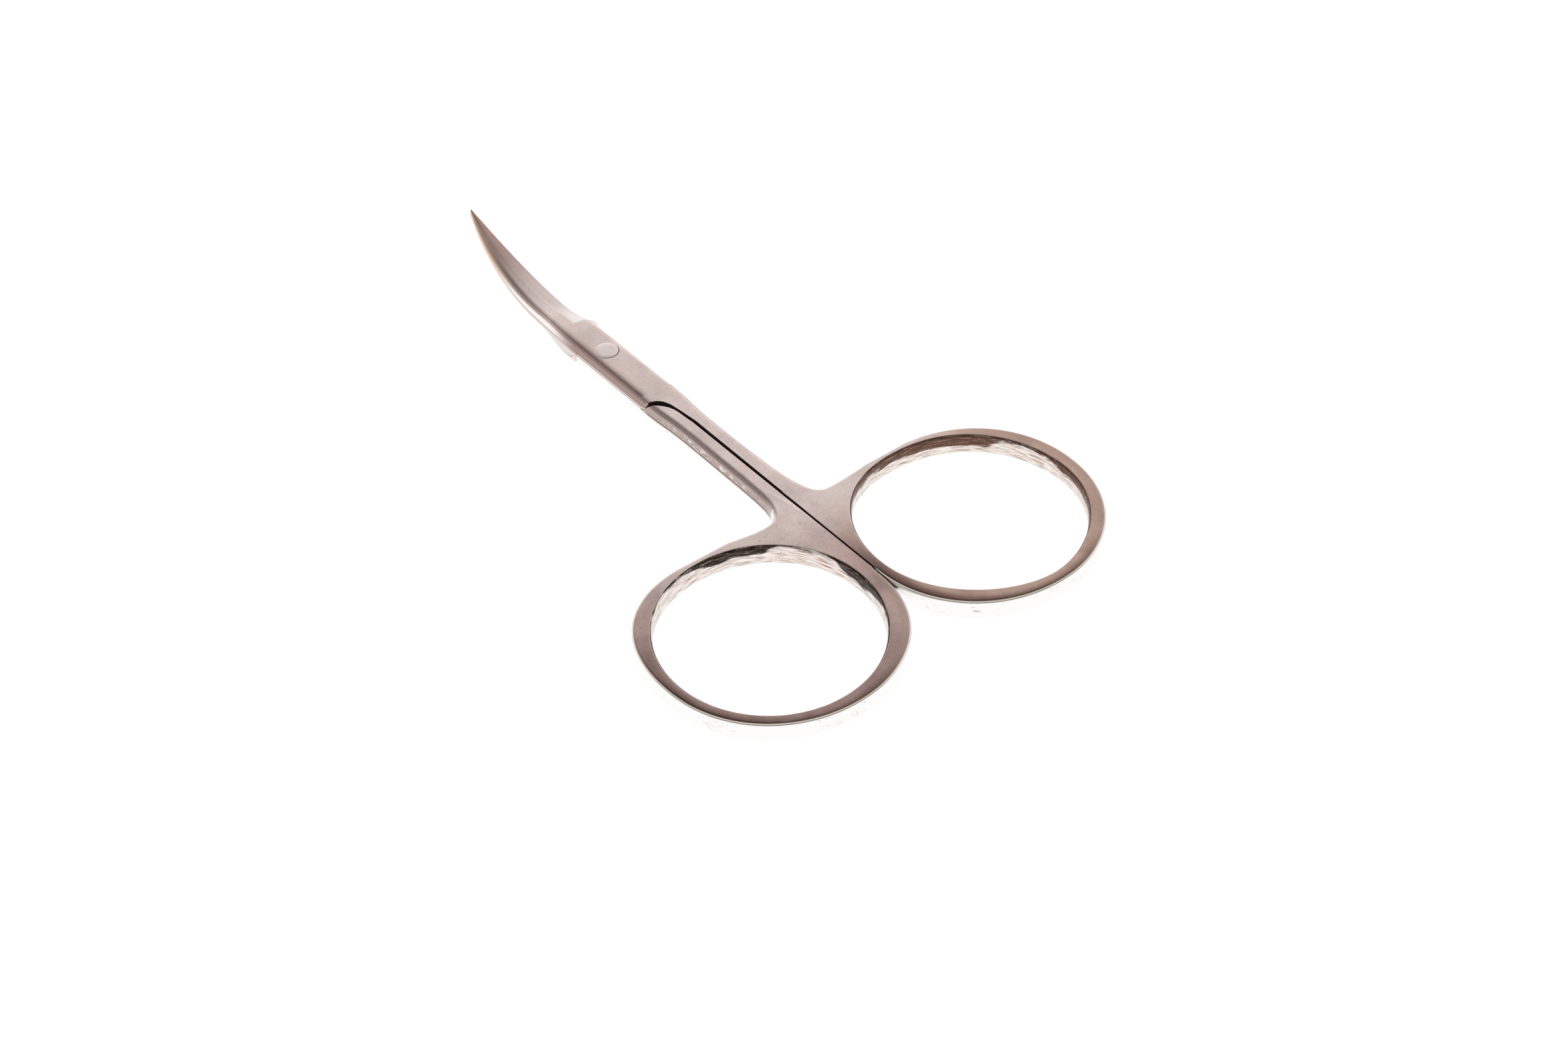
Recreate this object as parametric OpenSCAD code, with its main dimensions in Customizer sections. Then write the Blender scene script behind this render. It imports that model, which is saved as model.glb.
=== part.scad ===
// Curved cuticle scissors: two crossing halves and the flush rivet they turn on.
// The tips point along +X, the finger rings lie towards -X, and the underside rests on Z = 0.
// The origin is the pivot axis where it meets that underside.

/* [Blades] */
// Distance from the pivot to the tips
blade_length = 27.3; // [24:0.1:32]
// Half width of the flat stretch around the pivot, at its inner face
blade_half_width = 2.4; // [2.2:0.05:3]
// How far the cutting edge swells past that half width at its heel
edge_swell = 0.65; // [0:0.05:0.9]
// How much narrower each side of a blade is past its heel than around the pivot
waist = 0.3; // [0.1:0.05:0.5]
// Distance from the pivot to where the blades start to curve upward
bend_start = 9.9; // [7.5:0.1:12]
// Radius of the upward curve of the blades
bend_radius = 28.3; // [27:0.1:60]
// Thickness of a blade at its point
tip_thickness = 0.42; // [0.3:0.02:0.7]
// Half width of a blade at its point
tip_half_width = 0.2; // [0.1:0.02:0.3]
// Distance from the pivot to the heel of the ground edge on the lower blade
lower_grind_start = 3.1; // [2.6:0.1:6]
// Distance from the pivot to the heel of the ground edge on the upper blade
upper_grind_start = 5.3; // [2.6:0.1:6]
// Thickness left along the ground edge
edge_thickness = 0.12; // [0.06:0.02:0.2]
// Hollow between each inner blade face and the surface where the blades would meet
blade_hollow = 0.07; // [0.04:0.01:0.12]

/* [Shanks] */
// Distance from the pivot to the far side of the finger rings
handle_length = 63; // [57:0.5:72]
// Width of the flat top of one shank
shank_flat = 1.7; // [1.4:0.05:1.9]
// Thickness of the closed scissors
thickness = 2.8; // [2.4:0.1:3.6]
// How far the rounded sides stand out past the edge of the flat top
side_bulge = 0.4; // [0.2:0.05:0.6]
// Gap between the two shanks beside the shoulders
split_at_shoulder = 0.38; // [0.2:0.02:0.5]
// Gap between the two rings where they lie closest
split_at_rings = 0.22; // [0.1:0.02:0.3]
// Distance from the pivot to the corner of the heel of each half
heel_reach = 10.4; // [9.5:0.1:12]
// Distance that each shoulder is set back from the other half's heel
shoulder_gap = 0.42; // [0.3:0.02:0.8]

/* [Finger rings] */
// Length of a ring along the scissors, over its flat top
ring_length = 27.8; // [24:0.2:30]
// Width of a ring across the scissors, over its flat top
ring_width = 28.6; // [24:0.2:32]
// Width of the flat band at the far end of a ring
band_at_end = 1.15; // [0.8:0.05:1.8]
// Width of the flat band on the outer side of a ring
band_at_side = 1.1; // [0.8:0.1:2]
// Width of the flat band beside the split
band_at_split = 1.2; // [0.8:0.05:1.6]
// How much further the web beside the lower half's ring has been ground back
lower_web_trim = 0.7; // [0:0.1:1]
// How far the inner wall of a ring stands in past the edge of the flat top
wall_bulge = 0.14; // [0.05:0.01:0.25]

/* [Rivet] */
// Diameter of the flush rivet heads
rivet_head_d = 3.0; // [2.6:0.1:3.4]
// Diameter of the rivet between its heads
rivet_pin_d = 1.9; // [1.5:0.1:2.1]
// Depth of a rivet head below the face
rivet_head_h = 0.6; // [0.4:0.1:0.8]
// Radial running clearance of the upper half on the rivet
rivet_clearance = 0.04; // [0.02:0.01:0.08]

/* [Hidden] */
$fn = 96;
steel = [0.74, 0.67, 0.64];
rivet_steel = [0.79, 0.73, 0.7];
// Running gap between the flat inner faces of the two halves
face_gap = 0.02;
// Distance from a half's outer face to its inner face
half_depth = (thickness - face_gap) / 2;
// Reach of a cutting body past the metal that it cuts
over = 3;
// The handle part of a half ends, and its blade part begins, this far ahead of the heel's corner
join_lead = 1.4;
join_x = join_lead - heel_reach;
// The blade part starts inside the handle part and is this much smaller there
join_inset = 0.012;
// The S-shaped heel ends this far behind its corner, at the split
heel_length = 3.4;
// Edge of the flat outer face beside the pivot
pivot_flat = blade_half_width - side_bulge;

// Side profile of the forged edges, outer face to inner face: [share of half depth, share of bulge]
side_profile = [[0, 0], [0.12, 0.42], [0.34, 0.78], [0.68, 0.96], [1, 1]];
// The same for the inner wall of a ring, which is nearly upright
wall_profile = [[0, 0], [0.15, 0.62], [0.42, 0.92], [1, 1]];
// How full the corners of the ovals are: 2 is an ellipse, more is squarer
ring_full_near = 2.28;
ring_full_far = 2.04;
hole_full_near = 2.07;
hole_full_far = 1.94;
ring_steps = 88;
hole_steps = 80;
curve_steps = 5;

// The flat tops of the rings lie this much further from the split than their sides
ring_inset = 0.2;
ring_start = ring_length - handle_length;
ring_x = ring_start - ring_length / 2;
ring_y = split_at_rings / 2 + ring_inset + ring_width / 2;
// The hole lies this much nearer to the pivot than the ring's outline
hole_lead = 0.3;
hole_x = ring_x + hole_lead;
hole_a = ring_length / 2 - band_at_end + hole_lead;
hole_b = (ring_width - band_at_side - band_at_split) / 2;
hole_y = ring_y + (band_at_split - band_at_side) / 2;

// The blades narrow from here, over this length, by the waist and the swell of the edge
waist_start = 4;
waist_length = 7;
// The blades begin to taper this far ahead of the bend; the powers shape the sides of the point
taper_lead = 1;
taper_power = 2.5;
point_power = 0.93;

function clamp(v, low, high) = min(max(v, low), high);
function mix(a, b, t) = a + (b - a) * clamp(t, 0, 1);
function smooth(t) = let (c = clamp(t, 0, 1)) c * c * (3 - 2 * c);
function spread(low, high, steps) = [for (i = [0:steps]) low + (high - low) * i / steps];

// Point at share t between b and c on the curve that runs a, b, c, d
function curve_point(a, b, c, d, t) =
    0.5 * (2 * b + (c - a) * t + (2 * a - 5 * b + 4 * c - d) * t * t
        + (3 * b - a - 3 * c + d) * t * t * t);
// Smooth open curve through the listed points
function curve_through(p) = concat([
    for (i = [0:len(p) - 2])
        for (k = [0:curve_steps - 1])
            curve_point(p[max(i - 1, 0)], p[i], p[i + 1], p[min(i + 2, len(p) - 1)], k / curve_steps)
], [p[len(p) - 1]]);

// Oval whose corners can be fuller towards the shank than at the far end
function oval(centre, a, b, angle, full_near, full_far) =
    let (n = mix(full_far, full_near, (1 + cos(angle)) / 2),
         r = pow(pow(abs(cos(angle)), n) + pow(abs(sin(angle)), n), -1 / n))
    centre + r * [a * cos(angle), b * sin(angle)];
function ring_edge(angle) =
    oval([ring_x, ring_y], ring_length / 2, ring_width / 2, angle, ring_full_near, ring_full_far);
function hole_edge(angle, inset) =
    oval([hole_x, hole_y], hole_a - inset, hole_b - inset, angle, hole_full_near, hole_full_far);

// Half of the gap between the shanks, which narrows towards the rings
function split_y(x) =
    mix(split_at_shoulder, split_at_rings, (x + heel_reach) / (ring_x + heel_reach)) / 2;

// Place on the split from which the ends of the web and ring are filled
fan_x = ring_x + ring_length * 0.36;
// Number of the point of the outer side where the web starts to climb to the ring
web_start = 4 * curve_steps;
// Edge of the flat face on the outer side, from the pivot to the near side of the ring
function web_side(trim) = [
    [join_x, pivot_flat],
    [-heel_reach - 2, pivot_flat - 0.06],
    [-heel_reach - 6, shank_flat],
    [ring_start + 12, shank_flat],
    [ring_start + 5.6 - trim, shank_flat + 0.25 - trim / 4],
    [ring_start + 2.6 - trim, shank_flat + 0.7 - trim / 2],
    [ring_start + 0.7 - trim, shank_flat + 1.35 - trim / 3],
    [ring_start - 0.25 - trim, shank_flat + 2.5 - trim / 4],
    [ring_start - 0.35 - trim, shank_flat + 4.6],
    [ring_start - 0.12 - trim / 3, ring_y * 0.68]
];
// S-shaped edge of the heel, from the split to the corner beside the spine
heel_curve = curve_through([
    [-heel_reach - heel_length, split_y(-heel_reach)],
    [-heel_reach - 2.5, -0.05],
    [-heel_reach - 1.6, -0.17 * blade_half_width],
    [-heel_reach - 0.95, -0.38 * blade_half_width],
    [-heel_reach - 0.55, -0.62 * blade_half_width],
    [-heel_reach - 0.3, -0.8 * blade_half_width],
    [-heel_reach + 0.15, -0.93 * blade_half_width],
    [-heel_reach + 0.9, -1.01 * blade_half_width]
]);
// The shoulder lies across from the other half's heel
shoulder_curve = [for (p = heel_curve) [p.x - shoulder_gap, split_at_shoulder - p.y]];

// Outward direction of an open line at its point i
function outward(line, i) =
    let (d = line[min(i + 1, len(line) - 1)] - line[max(i - 1, 0)]) [d.y, -d.x] / norm(d);
function grown(line, bulge) = [for (i = [0:len(line) - 1]) line[i] + bulge * outward(line, i)];

// Two lines run round a handle from the pivot and meet at the far end of the ring.
// The first follows the outer side: shank, web and ring.
function outer_side(trim, bulge) =
    let (line = concat(
        curve_through(web_side(trim)),
        [for (i = [2:ring_steps / 2]) ring_edge(360 * i / ring_steps)]
    ))
    concat([[join_x, pivot_flat + bulge]], [for (i = [1:len(line) - 1]) grown(line, bulge)[i]]);
// The second follows the heel, the split and the inner side of the ring
function inner_side(bulge) =
    let (ring = [for (i = [ring_steps / 2 + 1:ring_steps * 3 / 4]) ring_edge(360 * i / ring_steps)])
    concat(
        [[join_x, -pivot_flat - bulge]],
        [for (i = [len(heel_curve) - 1:-1:0])
            [heel_curve[i].x, max(heel_curve[i].y, -pivot_flat - bulge)]],
        [for (x = spread(-heel_reach - heel_length - 0.6, ring_x + 0.6, 12)) [x, split_y(x)]],
        [for (i = [len(ring) - 1:-1:0])
            let (p = grown(ring, bulge)[i]) [p.x, max(p.y, split_y(p.x))]]
    );
// Triangles that fill the space between the two lines, walking both by their distance from
// the pivot. The steep side of the web is reached from one point of the split, at fan_x.
function fill(a, b, i = 0, j = 0) =
    i == len(a) - 1 && j == len(b) - 1 ? [] :
        let (
            steep = i >= web_start,
            far_a = i == len(a) - 1 ? handle_length * 2 : -min(a[i + 1].x, steep ? fan_x : 0),
            far_b = j == len(b) - 1 ? handle_length * 2 : -b[j + 1].x,
            n = len(a) + len(b)
        )
        far_a <= far_b
            ? concat([[i, i + 1, n - 1 - j]], fill(a, b, i + 1, j))
            : concat([[i, n - 2 - j, n - 1 - j]], fill(a, b, i, j + 1));
// Layers of a shape that is the same above and below the middle: [height, profile share]
function mirrored_levels(profile) = concat(
    [for (p = profile) [p.x * thickness / 2, p.y]],
    [for (i = [len(profile) - 2:-1:0]) [thickness - profile[i].x * thickness / 2, profile[i].y]]
);

// Solid skinned over closed sections that all have the same number of points.
// The end faces are those given, or else one convex face at each end.
module skin(sections, ends = []) {
    n = len(sections[0]);
    last = len(sections) - 1;
    caps = len(ends) > 0 ? ends : [[for (i = [0:n - 1]) i]];
    polyhedron(
        points = [for (s = sections) each s],
        faces = concat(
            caps,
            [for (k = [0:last - 1]) for (i = [0:n - 1])
                [k * n + i, (k + 1) * n + i, (k + 1) * n + (i + 1) % n, k * n + (i + 1) % n]],
            [for (c = caps) [for (i = [len(c) - 1:-1:0]) last * n + c[i]]]
        ),
        convexity = 8
    );
}

module handle_blank(trim) {
    skin(
        [for (level = mirrored_levels(side_profile))
            let (outer = outer_side(trim, side_bulge * level[1]),
                 inner = inner_side(side_bulge * level[1]))
            concat(
                [for (p = outer) [p.x, p.y, level[0]]],
                [for (i = [len(inner) - 1:-1:0]) [inner[i].x, inner[i].y, level[0]]]
            )],
        fill(outer_side(trim, 0), inner_side(0))
    );
}

// The hole of a finger ring, with its rounded wall
module ring_hole() {
    levels = mirrored_levels(wall_profile);
    skin([for (level = concat([[-over, 0]], levels, [[thickness + over, 0]]))
        [for (i = [0:hole_steps - 1])
            let (p = hole_edge(360 * i / hole_steps, wall_bulge * level[1])) [p.x, p.y, level[0]]]]);
}

// Room above the inner face for the other half's ricasso and heel
module shoulder_room() {
    first = shoulder_curve[0];
    // The cut runs on past the split, so that it leaves the metal at a clean angle
    lead_in = first + 3 * (first - shoulder_curve[1]);
    corner = shoulder_curve[len(shoulder_curve) - 1];
    side = blade_half_width + over;
    translate([0, 0, half_depth])
        linear_extrude(thickness)
            polygon(concat(
                [[join_x + over, side], [corner.x + 0.6, side]],
                [for (i = [len(shoulder_curve) - 1:-1:0]) shoulder_curve[i]],
                [lead_in, [lead_in.x, -side], [join_x + over, -side]]
            ));
}

// Rise of the blades above the straight part
function rise(x) =
    x <= bend_start ? 0 : bend_radius - sqrt(bend_radius * bend_radius - pow(x - bend_start, 2));
// How much longer an upright cut through the curved blade is than a square one
function upright(x) =
    x <= bend_start ? 1 : bend_radius / sqrt(bend_radius * bend_radius - pow(x - bend_start, 2));
// Share of the way along the tapering part of the blade
function taper(x) =
    clamp((x - bend_start + taper_lead) / (blade_length - bend_start + taper_lead), 0, 1);
// 0 around the pivot and 1 past the waist
function past_waist(x) = smooth((x - waist_start) / waist_length);
function half_width(x) =
    let (share = pow(1 - pow(taper(x), taper_power), point_power))
    mix(tip_half_width, blade_half_width - waist * past_waist(x), share);
// The spine lies a little inside the other half's cutting edge
function spine_width(x) = half_width(x) * (1 - 0.08 * past_waist(x));
function flat_width(x) = spine_width(x) * mix(pivot_flat / blade_half_width, 0.5, taper(x));
function edge_width(x) = half_width(x) + edge_swell * (1 - past_waist(x));
function blade_depth(x) = mix(half_depth, tip_thickness, taper(x));
function hollow(x) = blade_hollow * smooth((x - 3) / 4);

// Corner points across a blade: [distance to the cutting side, depth below the inner face].
// ground runs from 0 on the forged stretch to 1 where the edge has been ground.
function blade_corners(x, grind_start) =
    let (
        depth = blade_depth(x),
        flat = flat_width(x),
        spine = spine_width(x),
        past = x - grind_start,
        swell = smooth(past / 0.25),
        edge = mix(half_width(x), edge_width(x), swell),
        line = -0.1 * half_width(x) * taper(x),
        steps = len(side_profile) - 1
    )
    concat(
        [for (p = side_profile) [-mix(flat, spine, p.y), depth * (1 - p.x)]],
        [[edge, 0]],
        [for (i = [steps:-1:0])
            let (
                p = side_profile[i],
                share = i / steps,
                ground = smooth((past - 1.1 * pow(1 - share, 0.7)) / 0.3),
                forged_point = [mix(flat, edge, p.y), max(depth * (1 - p.x), edge_thickness)],
                ground_point = [mix(line, edge, share), mix(depth, edge_thickness, pow(share, 0.94))]
            )
            mix(forged_point, ground_point, ground)]
    );

// One station of a blade, bent by the given sign: 1 away from its outer face, -1 towards it
function blade_station(x, grind_start, bend) =
    let (
        inset = join_inset * (1 - smooth((x - join_x - 0.5) / 1.5)),
        inner = half_depth + bend * rise(x),
        low = half_depth - blade_depth(x)
    )
    [for (c = blade_corners(x, grind_start))
        let (
            y = c.x - sign(c.x) * inset,
            depth = clamp(max(c.y, hollow(x)), inset, blade_depth(x) - inset)
        )
        [x, y, inner - depth * upright(x)]];

module blade_blank(grind_start, bend) {
    stations = concat(
        [join_x - 0.5, join_x + 0.5, join_x + 2],
        spread(-5, grind_start - 0.6, 3),
        spread(grind_start - 0.02, grind_start + 1.5, 14),
        spread(grind_start + 1.9, blade_length - 1.2, 30),
        [blade_length - 0.8, blade_length - 0.45, blade_length - 0.15, blade_length]
    );
    skin([for (i = [len(stations) - 1:-1:0]) blade_station(stations[i], grind_start, bend)]);
}

// The rivet, widened all round by the given clearance and lengthened past both faces
module rivet_shape(clearance, past) {
    head = rivet_head_d / 2 + clearance;
    pin = rivet_pin_d / 2 + clearance;
    rotate_extrude()
        polygon(concat(
            past > 0 ? [[0, -past], [head, -past]] : [[0, 0]],
            [[head, 0], [pin, rivet_head_h], [pin, thickness - rivet_head_h], [head, thickness]],
            past > 0 ? [[head, thickness + past], [0, thickness + past]] : [[0, thickness]]
        ));
}

// One half lying with its outer face on Z = 0 and its ring on the +Y side
module half(grind_start, bend, trim, clearance) {
    difference() {
        union() {
            difference() {
                handle_blank(trim);
                ring_hole();
                shoulder_room();
            }
            blade_blank(grind_start, bend);
        }
        rivet_shape(clearance, over);
    }
}

module lower_half() {
    color(steel)
        half(lower_grind_start, 1, lower_web_trim, 0);
}

module upper_half() {
    color(steel)
        translate([0, 0, thickness])
            rotate([180, 0, 0])
                half(upper_grind_start, -1, 0, rivet_clearance);
}

module pivot_rivet() {
    color(rivet_steel)
        rivet_shape(0, 0);
}

lower_half();
upper_half();
pivot_rivet();
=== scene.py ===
"""Looks for the curved cuticle scissors: fine meshes, steel, floor, light and camera.

Lengths in the shape functions are millimetres in the frame of one half: its outer face lies
on Z = 0, its tip points along +X and its finger ring lies on the +Y side.
"""
import math

import bmesh
import bpy
import numpy as np
from mathutils import Matrix, Vector


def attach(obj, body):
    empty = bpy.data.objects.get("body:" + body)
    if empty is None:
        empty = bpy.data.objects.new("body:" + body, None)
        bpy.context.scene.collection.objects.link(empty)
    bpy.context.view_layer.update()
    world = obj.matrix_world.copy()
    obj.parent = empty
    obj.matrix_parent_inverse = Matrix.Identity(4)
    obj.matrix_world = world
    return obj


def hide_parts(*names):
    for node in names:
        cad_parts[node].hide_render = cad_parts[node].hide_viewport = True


MM = 0.001
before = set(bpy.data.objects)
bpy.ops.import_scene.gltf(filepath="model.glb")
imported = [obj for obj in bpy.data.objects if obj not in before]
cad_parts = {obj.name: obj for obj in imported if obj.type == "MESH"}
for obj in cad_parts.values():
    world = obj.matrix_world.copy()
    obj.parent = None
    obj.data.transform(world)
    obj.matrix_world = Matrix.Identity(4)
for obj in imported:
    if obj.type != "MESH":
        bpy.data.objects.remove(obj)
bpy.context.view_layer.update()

# ---------------------------------------------------------------- sizes, as in the CAD part
BLADE_LENGTH = 27.3
BLADE_HALF_WIDTH = 2.4
EDGE_SWELL = 0.65
WAIST, WAIST_START, WAIST_LENGTH = 0.3, 4.0, 7.0
BEND_START, BEND_RADIUS = 9.9, 28.3
TIP_THICKNESS, TIP_HALF_WIDTH = 0.42, 0.2
LOWER_GRIND_START, UPPER_GRIND_START = 3.1, 5.3
EDGE_THICKNESS, BLADE_HOLLOW = 0.12, 0.07
TAPER_LEAD, TAPER_POWER, POINT_POWER = 1.0, 2.5, 0.93
# the outer face of a blade runs into its ground part without a hard ridge, which lies past the
# middle by this share of the half width at the tip
FACET_ROUND = 1.3
RIDGE_SHIFT = 0.1
# the grinding starts later at the ridge than at the cutting edge, by a curve of this reach
GRIND_LAG, GRIND_LAG_POWER = 1.1, 0.7
GRIND_RUN, SWELL_RUN = 0.3, 0.25
HOLLOW_START, HOLLOW_RUN = 3, 4

HANDLE_LENGTH = 63.0
SHANK_FLAT = 1.7
THICKNESS = 2.8
SIDE_BULGE = 0.4
SPLIT_AT_SHOULDER, SPLIT_AT_RINGS = 0.38, 0.22
HEEL_REACH = 10.4

RING_LENGTH, RING_WIDTH = 27.8, 28.6
WEB_TRIM = {"lower": 0.7, "upper": 0.0}
WALL_BULGE = 0.3
SPLIT_BREAK = 0.05

# the rings are this much thinner than the shanks, from a little past the web
RING_RAISE, RAISE_LEAD, RAISE_RUN = 0.25, 2, 7

RIVET_HEAD_R, RIVET_PIN_R, RIVET_HEAD_H, RIVET_CLEARANCE = 1.5, 0.95, 0.6, 0.04
RIVET_EDGE, RIVET_LIP = 0.04, 0.02

FACE_GAP = 0.02
HALF_DEPTH = (THICKNESS - FACE_GAP) / 2
RING_START = RING_LENGTH - HANDLE_LENGTH
RING_X = RING_START - RING_LENGTH / 2
RING_Y = SPLIT_AT_RINGS / 2 + 0.2 + RING_WIDTH / 2
# the rings were filed by hand, so each outline differs a little from the CAD part's: centre,
# half length, half width on the outer side and beside the split, fullness of the corners
# towards the shank and at the far end, slant
RING_OUTLINES = {
    "lower": ((-49.15, 14.79), 13.78, 14.0, 14.46, (2.32, 2.06), -0.022),
    "upper": ((-49.1, 14.95), 13.86, 14.2, 14.62, (2.05, 2.07), -0.003),
}
HOLE_OUTLINES = {
    "lower": ((-48.83, 14.78), 12.95, 13.03, 13.03, (2.04, 2.005), 0.008),
    "upper": ((-48.79, 14.49), 13.18, 13.32, 13.32, (2.155, 1.865), 0.02),
}
PIVOT_FLAT = BLADE_HALF_WIDTH - SIDE_BULGE
JOIN_X = 1.4 - HEEL_REACH
FAN_X = RING_X + RING_LENGTH * 0.36

# how finely the curves are cut
CURVE_STEPS = 10
RING_STEPS = 288
HOLE_STEPS = 288
# the first points of a ring's outline lie inside the web
RING_JOIN = 6


def clamp(v, low=0.0, high=1.0):
    return min(max(v, low), high)


def mix(a, b, t):
    return a + (b - a) * clamp(t)


def smooth(t):
    t = clamp(t)
    return t * t * (3 - 2 * t)


def curve_through(points, steps=CURVE_STEPS):
    """Smooth open curve through the listed points."""
    p = [np.array(q, float) for q in points]
    out = []
    for i in range(len(p) - 1):
        a, b, c, d = p[max(i - 1, 0)], p[i], p[i + 1], p[min(i + 2, len(p) - 1)]
        for k in range(steps):
            t = k / steps
            out.append(0.5 * (2 * b + (c - a) * t + (2 * a - 5 * b + 4 * c - d) * t ** 2
                              + (3 * b - a - 3 * c + d) * t ** 3))
    return np.array(out + [p[-1]])


def oval(outline, angle, inset=0.0):
    """Point of a ring's outline, drawn in by an inset."""
    centre, a, b_out, b_split, full, slant = outline
    c, s = math.cos(angle), math.sin(angle)
    n = mix(full[1], full[0], (1 + c) / 2)
    r = (abs(c) ** n + abs(s) ** n) ** (-1 / n)
    x = r * (a - inset) * c
    y = r * ((b_out if s > 0 else b_split) - inset) * s
    return centre[0] + x - slant * y, centre[1] + y - slant * x


def split_y(x):
    """Half of the gap between the shanks, which narrows towards the rings."""
    return mix(SPLIT_AT_SHOULDER, SPLIT_AT_RINGS, (x + HEEL_REACH) / (RING_X + HEEL_REACH)) / 2


def web_side(trim):
    return curve_through([
        (JOIN_X, PIVOT_FLAT),
        (-HEEL_REACH - 2, PIVOT_FLAT - 0.06),
        (-HEEL_REACH - 6, SHANK_FLAT),
        (RING_START + 12, SHANK_FLAT),
        (RING_START + 5.6 - trim, SHANK_FLAT + 0.25 - trim / 4),
        (RING_START + 2.6 - trim, SHANK_FLAT + 0.7 - trim / 2),
        (RING_START + 0.7 - trim, SHANK_FLAT + 1.35 - trim / 3),
        (RING_START - 0.25 - trim, SHANK_FLAT + 2.5 - trim / 4),
        (RING_START - 0.35 - trim, SHANK_FLAT + 4.6),
        (RING_START - 0.12 - trim / 3, RING_Y * 0.68),
    ])


WEB_START = 4 * CURVE_STEPS
# the edge of a half's heel, and the edge of the shoulder that it stands against when closed,
# each from the split to the side
HEEL = curve_through([
    (-17.0, split_y(-17.0)), (-15.6, 0.05), (-13.9, -0.12), (-12.6, -0.31), (-11.75, -0.66),
    (-11.27, -1.07), (-11.0, -1.55), (-10.8, -1.93), (-10.6, -2.13), (-10.3, -2.27),
    (-9.9, -2.36), (-9.45, -2.42)])
SHOULDER = curve_through([
    (-17.2, split_y(-17.2)), (-16.0, 0.30), (-14.2, 0.42), (-13.12, 0.72), (-12.38, 1.17),
    (-11.79, 1.70), (-11.35, 2.08), (-10.95, 2.27), (-10.4, 2.37), (-9.9, 2.44), (-9.6, 2.6)])


def grown(line, out):
    """An open line moved sideways, outwards from the half."""
    line = np.asarray(line)
    if not np.any(out):
        return line
    d = np.gradient(line, axis=0)
    n = np.stack([d[:, 1], -d[:, 0]], 1) / np.linalg.norm(d, axis=1)[:, None]
    return line + n * np.asarray(out).reshape(-1, 1)


def outer_side(which, crown, bulge):
    """The side from the join past the web and round the ring, to the ring's far end."""
    ring = [oval(RING_OUTLINES[which], math.tau * i / RING_STEPS)
            for i in range(RING_JOIN, RING_STEPS // 2 + 1)]
    line = np.vstack([web_side(WEB_TRIM[which]), ring])
    width = [mix(SHANK_CROWN, RING_CROWN, ring_share(x)) for x, _ in line]
    line = grown(line, SIDE_BULGE * bulge + crown * np.array(width))
    line[0] = (JOIN_X, PIVOT_FLAT + SIDE_BULGE * bulge + BLADE_CROWN * crown)
    return line


def inner_side(which, crown, bulge, depth):
    """The side from the join round the heel, along the split and round the ring's near side."""
    out = SIDE_BULGE * bulge + RING_CROWN * crown
    ring = grown([oval(RING_OUTLINES[which], math.tau * i / RING_STEPS)
                  for i in range(RING_STEPS // 2 + 1, RING_STEPS * 3 // 4 + 1)], out)[::-1]
    low = -PIVOT_FLAT - SIDE_BULGE * bulge - BLADE_CROWN * crown
    edge_break = max(0.0, SPLIT_BREAK - depth * HALF_DEPTH)
    split = [(x, split_y(x)) for x in np.linspace(HEEL[0][0] - 0.6, RING_X + 0.6, 40)]
    ring = [(x, max(y, split_y(x))) for x, y in ring]
    line = np.vstack([HEEL[::-1], split, ring])
    line[:, 1] += edge_break
    line[:, 1] = np.maximum(line[:, 1], low)
    return np.vstack([(JOIN_X, low), line])


def fill(a, b):
    """Triangles between the outer and the inner side, as numbers in the closed outline."""
    tris, i, j, n = [], 0, 0, len(a) + len(b)
    far = 2 * HANDLE_LENGTH
    while i < len(a) - 1 or j < len(b) - 1:
        key_a = far if i == len(a) - 1 else -min(a[i + 1][0], FAN_X if i >= WEB_START else 0)
        key_b = far if j == len(b) - 1 else -b[j + 1][0]
        if key_a <= key_b:
            tris.append((i, i + 1, n - 1 - j))
            i += 1
        else:
            tris.append((i, n - 2 - j, n - 1 - j))
            j += 1
    return tris


# from the flat face to the middle of a side: (share of the crown by which the edge is drawn
# in, share of the bulge, share of the half depth)
SIDE_LEVELS = [(-1, 0, 0.0), (-0.8, 0, 0.001), (-0.6, 0, 0.005), (-0.4, 0, 0.014),
               (-0.22, 0, 0.028), (-0.08, 0, 0.047), (0, 0.08, 0.07), (0, 0.2, 0.1),
               (0, 0.34, 0.145), (0, 0.48, 0.205), (0, 0.62, 0.29), (0, 0.74, 0.39),
               (0, 0.84, 0.51), (0, 0.92, 0.65), (0, 0.98, 0.82), (0, 1, 1)]
SHANK_CROWN, RING_CROWN, HOLE_CROWN, BLADE_CROWN = 0.38, 0.12, 0.08, 0.6
# the rings keep crisper edges than the shanks: their levels lie nearer to the face by this power
CRISP = 1.5


def ring_share(x):
    """0 on the shanks and 1 on the rings."""
    return smooth((RING_START + 3 - x) / 6)


def mirrored(levels):
    """The levels of a side that is the same above and below its middle, and if it is above."""
    below = [(c, b, h, False) for c, b, h in levels]
    return below + [(c, b, h, True) for c, b, h in levels[-2::-1]]


def heights(line, depth, above):
    """Height of a level at each point of a line, from its share of the half depth."""
    z = [mix(depth, depth ** CRISP, ring_share(x)) * THICKNESS / 2 for x, _ in line]
    return [THICKNESS - h for h in z] if above else z


def mesh_object(name, verts, faces):
    """A new object in the scene."""
    me = bpy.data.meshes.new(name)
    me.from_pydata([tuple(v) for v in verts], [], [tuple(f) for f in faces])
    me.validate()
    ob = bpy.data.objects.new(name, me)
    bpy.context.scene.collection.objects.link(ob)
    return ob


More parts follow.
